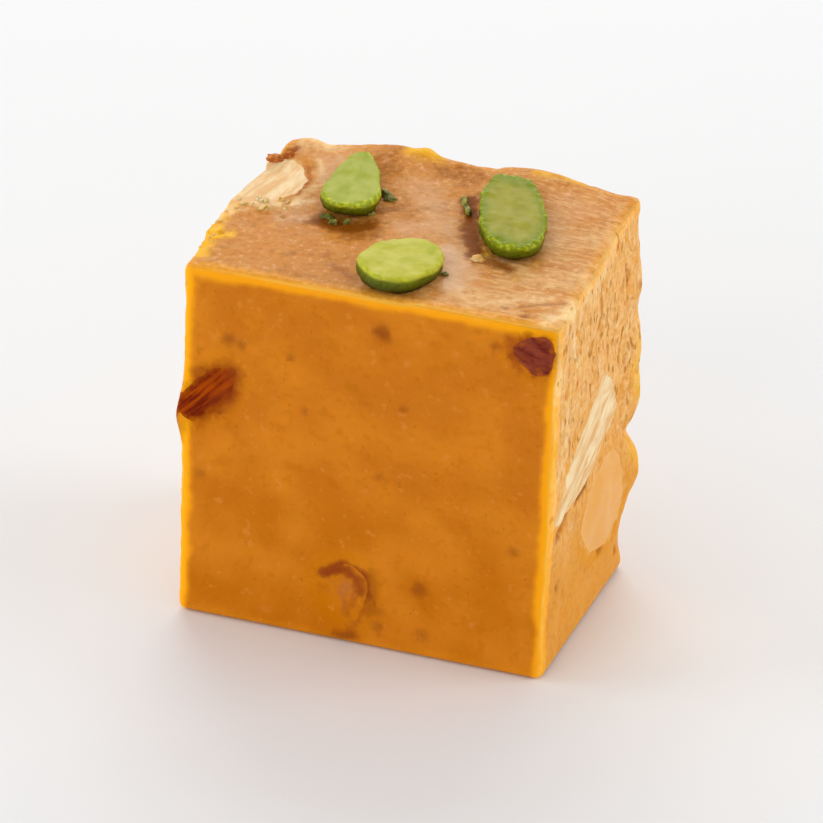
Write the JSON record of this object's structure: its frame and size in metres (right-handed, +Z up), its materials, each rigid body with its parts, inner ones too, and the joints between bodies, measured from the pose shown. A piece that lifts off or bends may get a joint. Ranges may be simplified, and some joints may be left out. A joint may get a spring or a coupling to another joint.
{
  "type": "barfi",
  "caption": "Hand-cut cube of milk fudge with nut pieces cut through at its faces and pistachio slices on top.",
  "frame": {"origin": "middle of the footprint, on the surface that the cube rests on", "axes": "+Z up; the smooth front face looks along -Y and the broken right side looks along +X"},
  "size_m": [0.0444, 0.0306, 0.0481],
  "materials": {
    "fudge": "soft oily sheen, light comes through at the edges",
    "nut": "smooth, faintly waxy cut face",
    "almond_skin": "wrinkled, slightly wet",
    "pistachio": "soft satin cut face with a darker skin"
  },
  "bodies": {
    "root": {"barfi_block": "fudge", "almond_left_edge": "almond_skin", "almond_upper_right": "almond_skin", "almond_lower_front": "almond_skin", "almond_back_skin": "almond_skin", "almond_sliver_side": "nut", "almond_left_side": "nut", "almond_back_lower": "nut", "nut_chip_left_side": "nut", "cashew_top_corner": "nut", "cashew_right_side": "nut", "cashew_back_upper": "nut", "pistachio_slice_left": "pistachio", "pistachio_slice_right": "pistachio", "pistachio_slice_front": "pistachio"}
  },
  "joints": []
}
